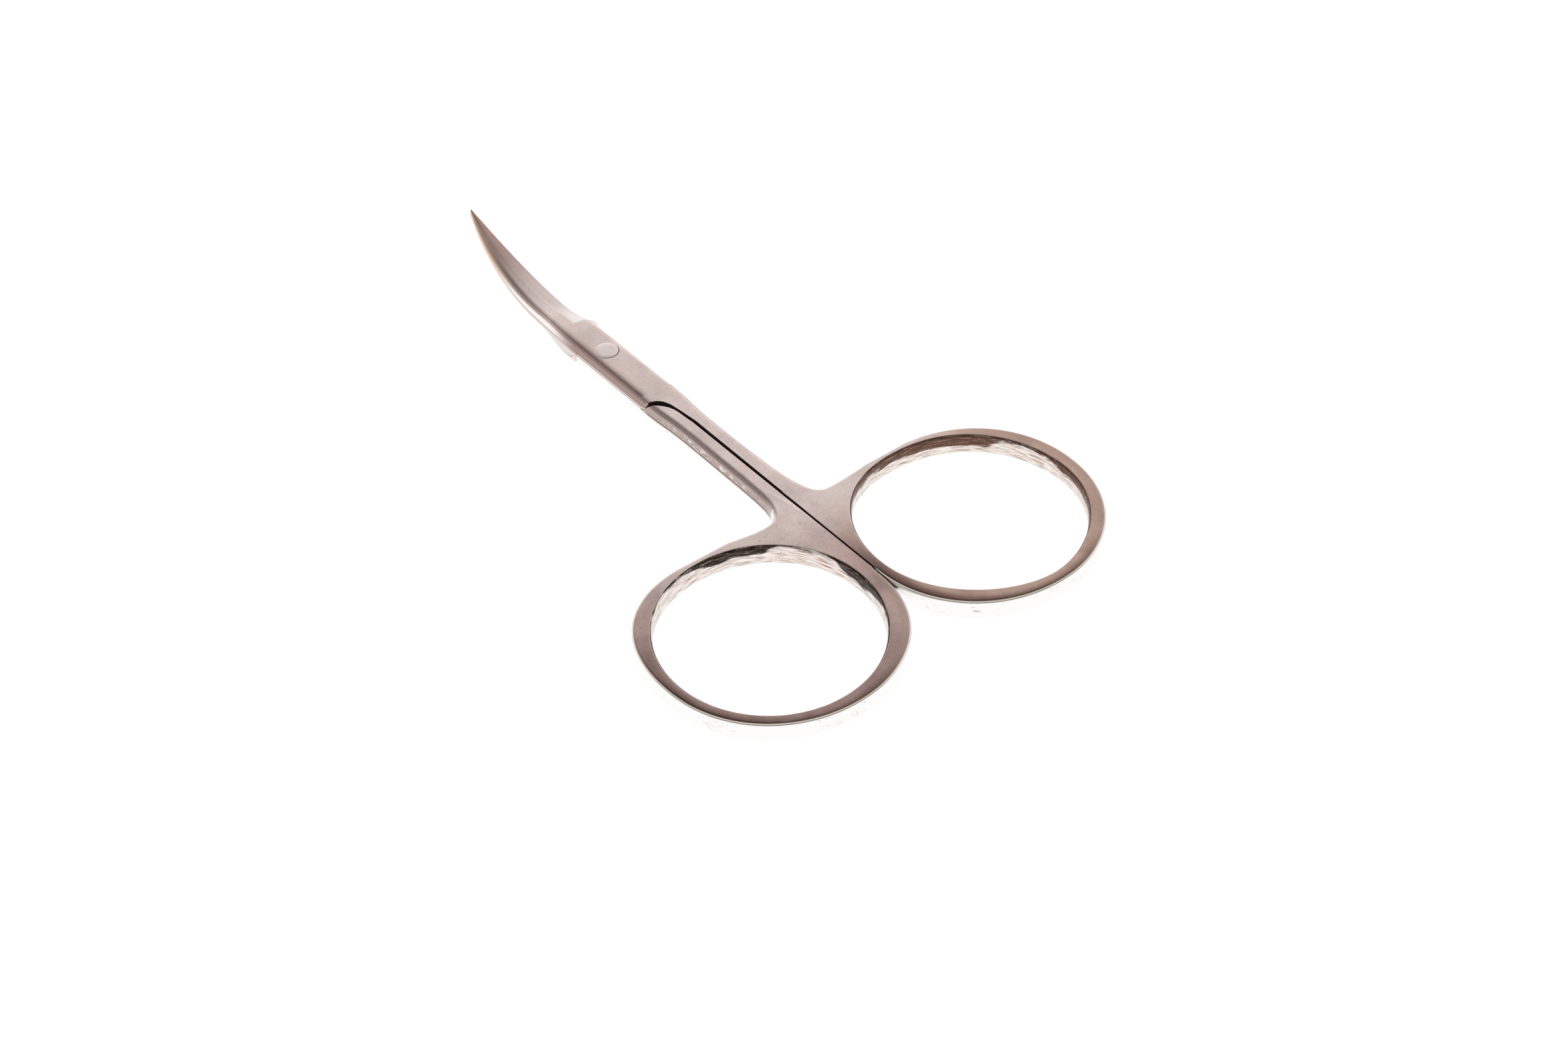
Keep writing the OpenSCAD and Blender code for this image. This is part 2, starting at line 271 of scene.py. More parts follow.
def turned_out(ob):
    """Turns all faces of a closed mesh to look outwards."""
    bm = bmesh.new()
    bm.from_mesh(ob.data)
    bmesh.ops.recalc_face_normals(bm, faces=bm.faces)
    bm.to_mesh(ob.data)
    bm.free()
    return ob


def skin(name, sections, ends=None):
    """Closed mesh over sections with the same number of points."""
    n, last = len(sections[0]), len(sections) - 1
    caps = ends or [tuple(range(n))]
    faces = [tuple(c) for c in caps]
    faces += [(k * n + i, (k + 1) * n + i, (k + 1) * n + (i + 1) % n, k * n + (i + 1) % n)
              for k in range(last) for i in range(n)]
    faces += [tuple(last * n + i for i in reversed(c)) for c in caps]
    return turned_out(mesh_object(name, np.vstack(sections), [f[::-1] for f in faces]))


def handle_blank(which):
    """Shank, web and ring of one half in one solid piece, from the join to the ring's end."""
    sections = []
    for crown, bulge, depth, above in mirrored(SIDE_LEVELS):
        loop = np.vstack([outer_side(which, crown, bulge),
                          inner_side(which, crown, bulge, depth)[::-1]])
        sections.append(np.column_stack([loop, heights(loop, depth, above)]))
    return skin("handle", sections, fill(outer_side(which, -1, 0), inner_side(which, -1, 0, 0)))


def ring_hole(which):
    """The room inside a ring, whose wall stands out in the middle and is broken at both rims."""
    sections = []
    for crown, bulge, depth, above in mirrored(SIDE_LEVELS):
        z = depth ** CRISP * THICKNESS / 2 - 0.002 * (depth == 0)
        line = [oval(HOLE_OUTLINES[which], math.tau * i / HOLE_STEPS,
                     WALL_BULGE * bulge + HOLE_CROWN * crown) for i in range(HOLE_STEPS)]
        sections.append([(x, y, THICKNESS - z if above else z) for x, y in line])
    for i, past in ((0, -1.0), (-1, THICKNESS + 1.0)):
        rim = [(x, y, past) for x, y, _ in sections[i]]
        sections.insert(len(sections) if i else 0, rim)
    return skin("hole", [np.array(row) for row in sections])


def shoulder_room():
    """The room above half thickness that the other half takes up at the pivot."""
    lead_in = SHOULDER[0] + 3 * (SHOULDER[0] - SHOULDER[1])
    side = BLADE_HALF_WIDTH + 3
    line = np.array([(JOIN_X + 3, side), (SHOULDER[-1][0] + 0.6, side), *SHOULDER[::-1],
                     lead_in, (lead_in[0], -side), (JOIN_X + 3, -side)])
    return skin("room", [np.column_stack([line, np.full(len(line), z)])
                         for z in (HALF_DEPTH, HALF_DEPTH + THICKNESS)])


# ---------------------------------------------------------------- blades
def bend_height(x):
    """How far the bend's centre lies above its circle at a place along the blade."""
    return math.sqrt(BEND_RADIUS ** 2 - (x - BEND_START) ** 2)


def rise(x):
    """How far the bend lifts a blade."""
    return 0.0 if x <= BEND_START else BEND_RADIUS - bend_height(x)


def upright(x):
    """Upright depth of a blade for each unit of its thickness."""
    return 1.0 if x <= BEND_START else BEND_RADIUS / bend_height(x)


def taper(x):
    """0 where a blade starts to narrow and 1 at its tip."""
    return clamp((x - BEND_START + TAPER_LEAD) / (BLADE_LENGTH - BEND_START + TAPER_LEAD))


def past_waist(x):
    return smooth((x - WAIST_START) / WAIST_LENGTH)


def half_width(x):
    share = (1 - taper(x) ** TAPER_POWER) ** POINT_POWER
    return mix(TIP_HALF_WIDTH, BLADE_HALF_WIDTH - WAIST * past_waist(x), share)


def spine_width(x):
    return half_width(x) * (1 - 0.03 * past_waist(x))


def ridge(x):
    """Where the ground part of the outer face starts, across the blade."""
    return -RIDGE_SHIFT * half_width(x) * taper(x)


def grind_lag(share):
    """How much later the grinding starts, by the share of the way from ridge to edge."""
    return GRIND_LAG * (1 - share) ** GRIND_LAG_POWER


def blade_section(x, grind_start):
    """Points across a blade: (distance to the cutting side, depth below the inner face)."""
    depth = mix(HALF_DEPTH, TIP_THICKNESS, taper(x))
    spine = spine_width(x)
    flat = spine * mix(PIVOT_FLAT / BLADE_HALF_WIDTH, 0.5, taper(x))
    past = x - grind_start
    swollen = half_width(x) + EDGE_SWELL * (1 - past_waist(x))
    edge = mix(half_width(x), swollen, smooth(past / SWELL_RUN))
    line = ridge(x)
    crown = BLADE_CROWN * flat / PIVOT_FLAT
    side = [(flat + crown * c + b * (spine - flat), depth * (1 - h)) for c, b, h in SIDE_LEVELS]
    cut = [(flat + crown * c + b * (edge - flat), max(depth * (1 - h), EDGE_THICKNESS))
           for c, b, h in SIDE_LEVELS]
    points = [(-y, d) for y, d in side] + [(edge, 0.0)]
    n = len(cut) - 1
    for i in range(n, -1, -1):
        share = i / n
        ground = smooth((past - grind_lag(share)) / GRIND_RUN)
        facet = (mix(line, edge, share), mix(depth, EDGE_THICKNESS, share ** FACET_ROUND))
        points.append((mix(cut[i][0], facet[0], ground), mix(cut[i][1], facet[1], ground)))
    # a few more points on the flat between ridge and spine
    last, first = points[-1], points[0]
    points += [(mix(last[0], first[0], t), mix(last[1], first[1], t)) for t in (0.12, 0.4, 0.7)]
    return points


# the blade's end inside the handle is drawn in by this, so that no two faces coincide
SEAM = 0.02


def blade_blank(grind_start, bend):
    """Pivot flat and blade in one piece; bend is 1 upwards and -1 downwards."""
    xs = np.concatenate([
        [JOIN_X - 0.5, JOIN_X - SEAM, JOIN_X, JOIN_X + 1.0],
        np.linspace(-7, grind_start - 0.4, 12),
        np.linspace(grind_start - 0.05, grind_start + 1.6, 56),
        np.linspace(grind_start + 1.7, BLADE_LENGTH - 1.2, 120),
        np.linspace(BLADE_LENGTH - 1.1, BLADE_LENGTH, 16),
    ])
    sections = []
    for x in xs:
        inset = SEAM * clamp((JOIN_X - x) / SEAM)
        inner = HALF_DEPTH + bend * rise(x)
        low = BLADE_HOLLOW * smooth((x - HOLLOW_START) / HOLLOW_RUN)
        depth = mix(HALF_DEPTH, TIP_THICKNESS, taper(x))
        row = []
        for y, d in blade_section(x, grind_start):
            d = clamp(max(d, low), inset, depth - inset)
            row.append((x, y - math.copysign(inset, y), inner - d * upright(x)))
        sections.append(np.array(row))
    return skin("blade", sections)


def revolve(name, profile, steps=128):
    """Closed solid of revolution about Z; the profile runs from axis to axis."""
    rows = profile[1:-1]
    verts = [(0, 0, profile[0][1]), (0, 0, profile[-1][1])]
    for r, z in rows:
        verts += [(r * math.cos(math.tau * i / steps), r * math.sin(math.tau * i / steps), z)
                  for i in range(steps)]
    faces = []
    for i in range(steps):
        j = (i + 1) % steps
        faces.append((0, 2 + i, 2 + j))
        for k in range(len(rows) - 1):
            a, b = 2 + k * steps, 2 + (k + 1) * steps
            faces.append((a + i, b + i, b + j, a + j))
        a = 2 + (len(rows) - 1) * steps
        faces.append((a + i, 1, a + j))
    return turned_out(mesh_object(name, verts, faces))


def bore_profile(clearance, past):
    """Half section of the room that the rivet takes up, reaching past both outer faces."""
    head, pin = RIVET_HEAD_R + clearance, RIVET_PIN_R + clearance
    return [(0, -past), (head, -past), (head, 0), (pin, RIVET_HEAD_H),
            (pin, THICKNESS - RIVET_HEAD_H), (head, THICKNESS), (head, THICKNESS + past),
            (0, THICKNESS + past)]


# ---------------------------------------------------------------- building the pieces
def combine(ob, other, how):
    """Joins, cuts or intersects two closed meshes; the second is used up."""
    mod = ob.modifiers.new(how, "BOOLEAN")
    mod.operation = how
    mod.solver = "MANIFOLD"
    mod.object = other
    bpy.context.view_layer.update()
    dg = bpy.context.evaluated_depsgraph_get()
    me = bpy.data.meshes.new_from_object(ob.evaluated_get(dg))
    ob.modifiers.clear()
    ob.data = me
    bpy.data.objects.remove(other)
    return ob


# level faces are shaded flat up to this x, so that their long thin triangles don't show
FLAT_NORMAL, FLAT_UP_TO = 0.9997, 2.0
WELD = 0.0005
SHARP_ANGLE = 32


def finish_mesh(ob, name):
    """Welds, shades smooth across gentle angles, and turns millimetres into metres."""
    ob.name = ob.data.name = name
    bm = bmesh.new()
    bm.from_mesh(ob.data)
    bmesh.ops.remove_doubles(bm, verts=bm.verts, dist=WELD)
    bmesh.ops.dissolve_degenerate(bm, edges=bm.edges, dist=WELD)
    bm.to_mesh(ob.data)
    bm.free()
    ob.data.transform(Matrix.Scale(MM, 4))
    ob.data.polygons.foreach_set("use_smooth", [
        abs(p.normal.z) < FLAT_NORMAL or p.center.x > FLAT_UP_TO * MM for p in ob.data.polygons])
    ob.data.set_sharp_from_angle(angle=math.radians(SHARP_ANGLE))
    mod = ob.modifiers.new("weighted", "WEIGHTED_NORMAL")
    mod.keep_sharp = True
    mod.weight = 80
    return ob


# the regions of a half, which are also the numbers of their materials
FLAT, SIDE, WALL, GAP, INNER = range(5)
# a face counts as a side, as steep or as an inner face by how far its normal points up
SIDE_TILT, STEEP_TILT, BLADE_SIDE_TILT, INNER_TILT = 0.93, 0.72, 0.995, 0.75
# the side of a blade ends at this share of the depth from its inner to its outer face
BLADE_SIDE_SHARE = 0.965
# faces this near to the outline of the hole or of the split belong to it
WALL_SLACK, GAP_SLACK, GAP_WIDTH = 0.03, 0.2, 2.0
# how softly the tone of the ground part starts, along the blade and across its ridge
FACET_RUN, FACET_FADE = 0.25, 0.35


def blade_level(x, z, bend):
    """1 on the outer face of a blade and 0 on its inner face."""
    depth = mix(HALF_DEPTH, TIP_THICKNESS, taper(x)) * upright(x)
    return clamp((HALF_DEPTH + bend * rise(x) - z) / depth)


def nearest(points, line):
    """Distance from each point to the nearest point of a finely cut line."""
    fine = np.vstack([line[:-1] + (line[1:] - line[:-1]) * t for t in (0, 0.25, 0.5, 0.75)])
    return np.min(np.linalg.norm(points[:, None, :] - fine[None], axis=2), axis=1)


def values(items, what):
    """One property of all vertices or faces, as rows of three."""
    out = np.empty(len(items) * 3)
    items.foreach_get(what, out)
    return out.reshape(-1, 3)


def mark_places(me, grind_start, bend):
    """Gives each vertex its place on the half, for the materials.

    The attribute level is 1 on the upper face, 0 at the middle of a side and -1 on the
    underside, and on a blade it is 1 or -1 on the outer face and 0 on the inner face. facet is 1
    on the ground part of the outer face of a blade, and spine runs from -1 at a blade's cutting
    edge to 1 at its spine.
    """
    at = values(me.vertices, "co")
    level = bend * (at[:, 2] - THICKNESS / 2) / (THICKNESS / 2)
    facet, spine = np.zeros(len(at)), np.zeros(len(at))
    for i, (x, y, z) in enumerate(at):
        if x > JOIN_X:
            level[i] = -bend * blade_level(x, z, bend)
        if x > HEEL[-4][0]:
            spine[i] = -y / half_width(x)
        if x > grind_start - 1:
            share = clamp((y - ridge(x)) / (half_width(x) - ridge(x)))
            ground = smooth((x - grind_start - grind_lag(share)) / FACET_RUN)
            facet[i] = ground * smooth((y - ridge(x) + 0.1) / FACET_FADE)
    for name, data in (("level", level), ("facet", facet), ("spine", spine)):
        me.attributes.new(name, "FLOAT", "POINT").data.foreach_set("value", data)


def sort_faces(me, which, grind_start, bend):
    """Gives each face the steel of its region."""
    centre, normal = values(me.polygons, "center"), values(me.polygons, "normal")
    x, y, z = centre.T
    up = normal[:, 2]
    tilt = np.abs(up)
    kind = np.full(len(centre), FLAT)
    kind[(tilt < SIDE_TILT) & (x < JOIN_X)] = SIDE

    hole = np.array([oval(HOLE_OUTLINES[which], math.tau * i / 720) for i in range(720)])
    wall = (x < RING_START) & (np.hypot(x - RING_X, y - RING_Y) < RING_WIDTH / 2)
    index = np.nonzero(wall & (tilt < SIDE_TILT))[0]
    near = nearest(centre[index, :2], hole) < WALL_BULGE + HOLE_CROWN + WALL_SLACK
    kind[index[near]] = WALL

    split = np.array([(t, split_y(t)) for t in np.linspace(HEEL[0][0], RING_X, 300)])
    steep = (tilt < STEEP_TILT) & (np.abs(y) < GAP_WIDTH) & (x > RING_X) & (x < JOIN_X + 2)
    index = np.nonzero(steep)[0]
    near = nearest(centre[index, :2], np.vstack([HEEL, split, SHOULDER])) < GAP_SLACK
    kind[index[near]] = GAP

    recess = (up > 0.9) & (np.abs(z - HALF_DEPTH) < 0.01) & (x < JOIN_X + 1)
    kind[recess] = INNER
    share = np.array([blade_level(*at, bend) if at[0] > JOIN_X else 0 for at in centre[:, [0, 2]]])
    sides = (x > JOIN_X) & (share < BLADE_SIDE_SHARE) & (tilt < BLADE_SIDE_TILT)
    kind[sides & (kind != GAP) & ((y < 0) | (x < grind_start))] = SIDE
    kind[(x > JOIN_X + 1) & (up > INNER_TILT)] = INNER
    me.polygons.foreach_set("material_index", kind.astype(np.int32))


def raise_ring(ob):
    """The rings are a little thinner than the shanks, drawn up from below."""
    at = values(ob.data.vertices, "co")
    share = np.clip((RING_START - RAISE_LEAD - at[:, 0]) / RAISE_RUN, 0, 1)
    share = share * share * (3 - 2 * share)
    at[:, 2] += RING_RAISE * share * (1 - at[:, 2] / THICKNESS)
    ob.data.vertices.foreach_set("co", at.ravel())
    ob.data.update()


def make_half(name, which, grind_start, bend, clearance):
    """One half: the handle less its hole and the recess, the blade added, the bore cut."""
    ob = handle_blank(which)
    combine(ob, ring_hole(which), "DIFFERENCE")
    combine(ob, shoulder_room(), "DIFFERENCE")
    combine(ob, blade_blank(grind_start, bend), "UNION")
    combine(ob, revolve("bore", bore_profile(clearance, 1.0)), "DIFFERENCE")
    mark_places(ob.data, grind_start, bend)
    sort_faces(ob.data, which, grind_start, bend)
    if bend < 0:
        over = Matrix.Rotation(math.pi, 4, "X")
        ob.data.transform(Matrix.Translation((0, 0, THICKNESS)) @ over)
    raise_ring(ob)
    return finish_mesh(ob, name)


def make_rivet():
    """The rivet, its heads flush with the outer faces and slightly crowned on top."""
    rim = RIVET_HEAD_R - RIVET_EDGE
    return finish_mesh(revolve("rivet", [
        (0, 0.0), (rim, 0.0), (RIVET_HEAD_R, RIVET_LIP), (RIVET_PIN_R, RIVET_HEAD_H),
        (RIVET_PIN_R, THICKNESS - RIVET_HEAD_H), (RIVET_HEAD_R + 0.02, THICKNESS - RIVET_LIP),
        (rim, THICKNESS - 0.004), (RIVET_HEAD_R * 0.6, THICKNESS), (0, THICKNESS)]),
        "rivet_steel")


lower = make_half("lower_half_steel", "lower", LOWER_GRIND_START, 1, 0.0)
upper = make_half("upper_half_steel", "upper", UPPER_GRIND_START, -1, RIVET_CLEARANCE)
rivet = make_rivet()

for piece, body, node, slot in ((lower, "lower", "lower_half", "brushed_steel"),
                                (upper, "upper", "upper_half", "brushed_steel"),
                                (rivet, "lower", "pivot_rivet", "rivet_steel")):
    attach(piece, body)
    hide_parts(node)


# ---------------------------------------------------------------- materials
# colours are linear red, green and blue
class Nodes:
    """Short way to write a node tree."""

    def __init__(self, tree):
        self.tree = tree
        tree.nodes.clear()

    def add(self, kind, settings=None, **inputs):
        """A node with its inputs by name; i0, i1 and so on are inputs by number."""
        node = self.tree.nodes.new(kind)
        for key, value in (settings or {}).items():
            setattr(node, key, value)
        for key, value in inputs.items():
            numbered = key[0] == "i" and key[1:].isdigit()
            socket = node.inputs[int(key[1:]) if numbered else key.replace("_", " ")]
            if isinstance(value, bpy.types.NodeSocket):
                self.tree.links.new(value, socket)
            elif socket.type == "RGBA":
                socket.default_value = (*value, 1)
            else:
                socket.default_value = value
        return node

    def math(self, operation, a, b=0.0, c=0.0):
        return self.add("ShaderNodeMath", {"operation": operation}, i0=a, i1=b, i2=c).outputs[0]

    def times(self, first, *others):
        for other in others:
            first = self.math("MULTIPLY", first, other)
        return first

    def line(self, value, factor, start):
        """start + factor * value"""
        return self.math("MULTIPLY_ADD", value, factor, start)

    def length(self, x, y):
        return self.math("SQRT", self.math("ADD", self.times(x, x), self.times(y, y)))

    def vector(self, operation, a, b, output=0):
        node = self.add("ShaderNodeVectorMath", {"operation": operation}, i0=a, i1=b)
        return node.outputs[output]

    def dot(self, a, b):
        return self.vector("DOT_PRODUCT", a, b, "Value")

    def scaled(self, vector, factors):
        return self.vector("MULTIPLY", vector, factors)

    def step(self, value, start, end, low=0.0, high=1.0):
        """low before start and high past end, with a soft change between."""
        return self.add("ShaderNodeMapRange", {"interpolation_type": "SMOOTHSTEP"}, Value=value,
                        From_Min=start, From_Max=end, To_Min=low, To_Max=high).outputs[0]

    def ramp(self, value, stops):
        """Straight changes between the stops, each a place and a grey level or a colour."""
        node = self.add("ShaderNodeValToRGB", Fac=value)
        elements = node.color_ramp.elements
        while len(elements) < len(stops):
            elements.new(0.5)
        for element, (place, colour) in zip(elements, stops):
            element.position = place
            grey = isinstance(colour, (int, float))
            element.color = (colour, colour, colour, 1) if grey else (*colour, 1)
        return node.outputs["Color"]

    def noise(self, vector, scale, detail=3.0, rough=0.55):
        return self.add("ShaderNodeTexNoise", {"noise_dimensions": "3D"}, Vector=vector,
                        Scale=scale, Detail=detail, Roughness=rough).outputs["Fac"]

    def mixed(self, a, b, factor, blend="MIX"):
        node = self.add("ShaderNodeMix", {"data_type": "RGBA", "blend_type": blend}, i0=factor,
                        i6=a, i7=b)
        return node.outputs[2]


# the arcs of the rings that lie this way, towards the camera, get painted light and shade: painted
# shade on their flats and outer edges, a painted highlight on their sides
NEAR_WAY = (0.772, 0.635)
# streaks on a ring run round it: radius, in metres, at which they are as long as on a shank
STREAK_RADIUS = 0.0135


class Steel(Nodes):
    """A steel material with the places that its patterns are drawn on."""

    def __init__(self, name):
        self.mat = bpy.data.materials.new(name)
        self.mat.use_nodes = True
        super().__init__(self.mat.node_tree)
        self.place = self.add("ShaderNodeTexCoord").outputs["Object"]
        self.x, self.y, self.z = self.add("ShaderNodeSeparateXYZ", Vector=self.place).outputs
        self.level = self.attribute("level")
        self.rim = self.math("ABSOLUTE", self.level)
        self.facet = self.attribute("facet")
        self.spine = self.attribute("spine")

        self.away = self.math("ABSOLUTE", self.y)
        ring_x = self.math("SUBTRACT", self.x, RING_X * MM)
        ring_y = self.math("SUBTRACT", self.away, RING_Y * MM)
        self.angle = self.math("ARCTAN2", ring_y, ring_x)
        self.radius = self.length(ring_x, ring_y)
        arc = self.times(self.angle, STREAK_RADIUS)
        self.round = self.add("ShaderNodeCombineXYZ", X=arc, Y=self.radius, Z=self.z).outputs[0]
        self.on_ring = self.along(RING_START + 3, RING_START - 3)
        # mask of the ring arcs towards the camera, where light and shade are painted on
        near = self.times(ring_x, -NEAR_WAY[0])
        near = self.line(self.times(ring_y, self.math("SIGN", self.y)), NEAR_WAY[1], near)
        self.near_arc_painted = self.times(self.step(near, 2 * MM, 10 * MM), self.on_ring)

    def attribute(self, name):
        return self.add("ShaderNodeAttribute", {"attribute_name": name}).outputs["Fac"]

    def along(self, start, end):
        """0 before one place along the scissors and 1 past another, in millimetres."""
        return self.step(self.x, start * MM, end * MM)

    def shifted(self, vector, seed):
        return self.vector("ADD", vector, (seed, seed * 2, seed * 3))

    def streaks(self, along, across, seed=0.0, detail=4.0):
        """Fine scratches that follow the shank, and go round on the rings."""
        straight, turning = (
            self.noise(self.shifted(self.scaled(place, (along, across, across)), seed),
                       1.0, detail, 0.6) for place in (self.place, self.round))
        return self.add("ShaderNodeMix", {"data_type": "FLOAT"}, i0=self.on_ring, i2=straight,
                        i3=turning).outputs[0]

    def cross_stripes(self):
        """Grinding marks across a blade."""
        return self.noise(self.scaled(self.place, (9500, 500, 500)), 1.0, 4, 0.6)

    def pits(self, scale, size, share=0.5, seed=0.0):
        """1 in small round pits, scattered in some of the cells."""
        cell = self.add("ShaderNodeTexVoronoi", {"feature": "F1"},
                        Vector=self.shifted(self.place, seed), Scale=scale)
        pick = self.step(cell.outputs["Color"], share, share + 0.02)
        return self.times(self.step(cell.outputs["Distance"], size, size * 0.55), pick)

    def spot(self, x, y, radius, soft=0.5, stretch=1.0):
        """1 near one place of the flats, given in millimetres."""
        dx = self.math("SUBTRACT", self.x, x * MM)
        dy = self.times(self.math("SUBTRACT", self.y, y * MM), stretch)
        return self.step(self.length(dx, dy), radius * MM, radius * soft * MM)

    def done(self, colour, rough, height, bump=0.15, metal=1.0, glow=(0, 0, 0)):
        relief = self.add("ShaderNodeBump", Strength=bump, Distance=0.03 * MM, Height=height)
        shader = self.add("ShaderNodeBsdfPrincipled", Base_Color=colour, Metallic=metal,
                          Roughness=rough, Normal=relief.outputs[0], Emission_Color=glow,
                          Emission_Strength=HONED_GLOW)
        self.add("ShaderNodeOutputMaterial", Surface=shader.outputs[0])
        return self.mat


# strength of the glow that stands for the burnt-out strip of an inner face: a painted highlight
HONED_GLOW = 0.4
# painted reflection: near-white colours for sides, standing for the white floor that they mirror
FLOOR_REFLECTION = (0.99, 0.98, 0.975)
BLADE_FLOOR_REFLECTION = (0.97, 0.92, 0.90)
PIVOT_FLOOR_REFLECTION = (0.95, 0.90, 0.88)
# painted shade on the outer edges of the rings' near arcs
NEAR_EDGE_SHADE = (0.20, 0.12, 0.10)
# pits in the flats that can be made out in the photograph: place and radius in millimetres
PITS = [(-36.74, 4.0, 0.14), (-37.38, 6.14, 0.12), (-37.51, 7.0, 0.15), (-40.89, 0.42, 0.14),
        (-40.06, 25.52, 0.15), (-38.6, 4.9, 0.07), (-39.3, -1.1, 0.08), (-41.6, -2.2, 0.08)]


def warm(v, brown=0.0):
    """Steel tint of a given brightness, from pinkish grey to brown."""
    return v, v * (0.845 - 0.14 * brown), v * (0.775 - 0.2 * brown)


def ring_flats(s, tone, cloud):
    """Browner rings, the upper one warmer, with painted shade on the near arcs: a darker outer
    edge and darker flats.
    """
    patches = s.step(cloud, 0.36, 0.64)
    lower_ring = s.mixed((0.50, 0.345, 0.32), (0.68, 0.49, 0.44), patches)
    upper_ring = s.mixed((0.60, 0.405, 0.33), (0.80, 0.575, 0.475), patches)
    brown = s.mixed(lower_ring, upper_ring, s.step(s.y, 0.0, -3 * MM))
    out = s.math("MAXIMUM", s.math("SUBTRACT", s.away, 12 * MM), 0.0)
    tone = s.mixed(tone, brown, s.step(s.line(out, -0.5, s.x), -36 * MM, -47 * MM))
    outer = s.times(s.step(s.radius, 13.4 * MM, 14.2 * MM), s.along(-40, -52))
    tone = s.mixed(tone, (0.50, 0.36, 0.31), s.times(outer, 0.55))
    # painted shade on the near arcs: a dark outer edge, and the whole flat multiplied darker
    painted_near_edge = s.times(s.step(s.radius, 13 * MM, 14.2 * MM), s.near_arc_painted)
    tone = s.mixed(tone, NEAR_EDGE_SHADE, s.times(painted_near_edge, 0.85))
    return s.mixed(tone, (0.84, 0.80, 0.80), s.near_arc_painted, "MULTIPLY")


def satin_marks(s, tone, lines):
    """Stains, pale scratches, grain and dull patches."""
    stain = s.step(s.noise(s.shifted(s.place, 3.7), 420, 5, 0.6), 0.60, 0.78)
    tone = s.mixed(tone, warm(0.45, 1.0), s.times(stain, 0.4))
    tone = s.mixed(tone, warm(0.95), s.times(s.step(lines, 0.58, 0.78), 0.25))
    grain = s.ramp(s.noise(s.place, 3600, 4, 0.7), [(0.3, 0.80), (0.5, 1.0), (0.7, 1.06)])
    tone = s.mixed(tone, grain, 0.7, "MULTIPLY")
    dull = s.ramp(s.noise(s.shifted(s.place, 5.5), 260, 4, 0.6), [(0.3, 0.86), (0.65, 1.06)])
    return s.mixed(tone, dull, 1.0, "MULTIPLY")


def blade_flats(s, tone, cloud, stripes):
    """The ground part of a blade, its brown edge and tip, and the dark edge of its spine."""
    ground = s.mixed((0.93, 0.85, 0.84), (0.62, 0.51, 0.48), s.along(7, 12.5))
    ground = s.mixed(ground, (0.40, 0.27, 0.245), s.along(14, 23))
    ground = s.mixed(ground, warm(0.60, 0.4), s.times(s.step(stripes, 0.55, 0.78), 0.35))
    rough_entry = s.step(s.noise(s.place, 2400, 4, 0.7), 0.44, 0.58)
    entry = s.times(s.along(7.1, 6), rough_entry, 0.8)
    ground = s.mixed(ground, (1.0, 0.98, 0.97), entry)
    tone = s.mixed(tone, (0.46, 0.31, 0.27), s.times(s.along(14, 23), 0.85))
    tone = s.mixed(tone, ground, s.facet)
    keen = s.times(s.facet, s.step(s.rim, 0.11, 0.07))
    tone = s.mixed(tone, (0.26, 0.15, 0.10), keen)
    ragged = s.line(s.math("SUBTRACT", cloud, 0.5), 0.3, s.spine)
    band = s.times(s.step(ragged, 0.34, 0.80), s.along(-11.5, -8.5))
    thin = s.line(s.along(3, 9), -0.75, 0.8)
    tone = s.mixed(tone, (0.42, 0.29, 0.26), s.times(band, thin))
    return s.mixed(tone, (0.34, 0.19, 0.12), s.times(s.along(23.5, 26.8), 0.8))


def flat_steel():
    """Satin flats, browner on the rings, with the paler ground facet of the blades."""
    s = Steel("satin_flat_steel")
    cloud = s.noise(s.place, 160, 3, 0.5)
    fine = s.noise(s.place, 3200, 4, 0.65)
    lines = s.streaks(350, 9000)
    stripes = s.cross_stripes()
    tone = s.mixed((0.88, 0.715, 0.665), (0.98, 0.82, 0.77), s.step(cloud, 0.3, 0.7))
    tone = satin_marks(s, ring_flats(s, tone, cloud), lines)
    tone = blade_flats(s, tone, cloud, stripes)

    pit = s.math("MAXIMUM", s.pits(900, 0.16, 0.93), s.pits(2300, 0.2, 0.955, 0.3))
    for x, y, size in PITS:
        pit = s.math("MAXIMUM", pit, s.spot(x, y, size, 0.2, 1.6))
    tone = s.mixed(tone, (0.10, 0.065, 0.05), s.times(pit, 0.85))
    rough = s.line(cloud, 0.08, s.line(fine, 0.10, 0.17))
    height = s.line(lines, 0.4, s.times(fine, 0.25))
    height = s.line(s.times(stripes, s.facet), 0.6, height)
    height = s.math("SUBTRACT", height, s.times(pit, 1.2))
    return s.done(tone, rough, height, 0.08)


# the parting line of the forging lies this share of the half height below the middle of a shank
PARTING = 0.16
# the sides change from the shank's tones to the blade's just behind the join, in millimetres
BLADE_TONES = (JOIN_X - 2.2, JOIN_X - 1.0)


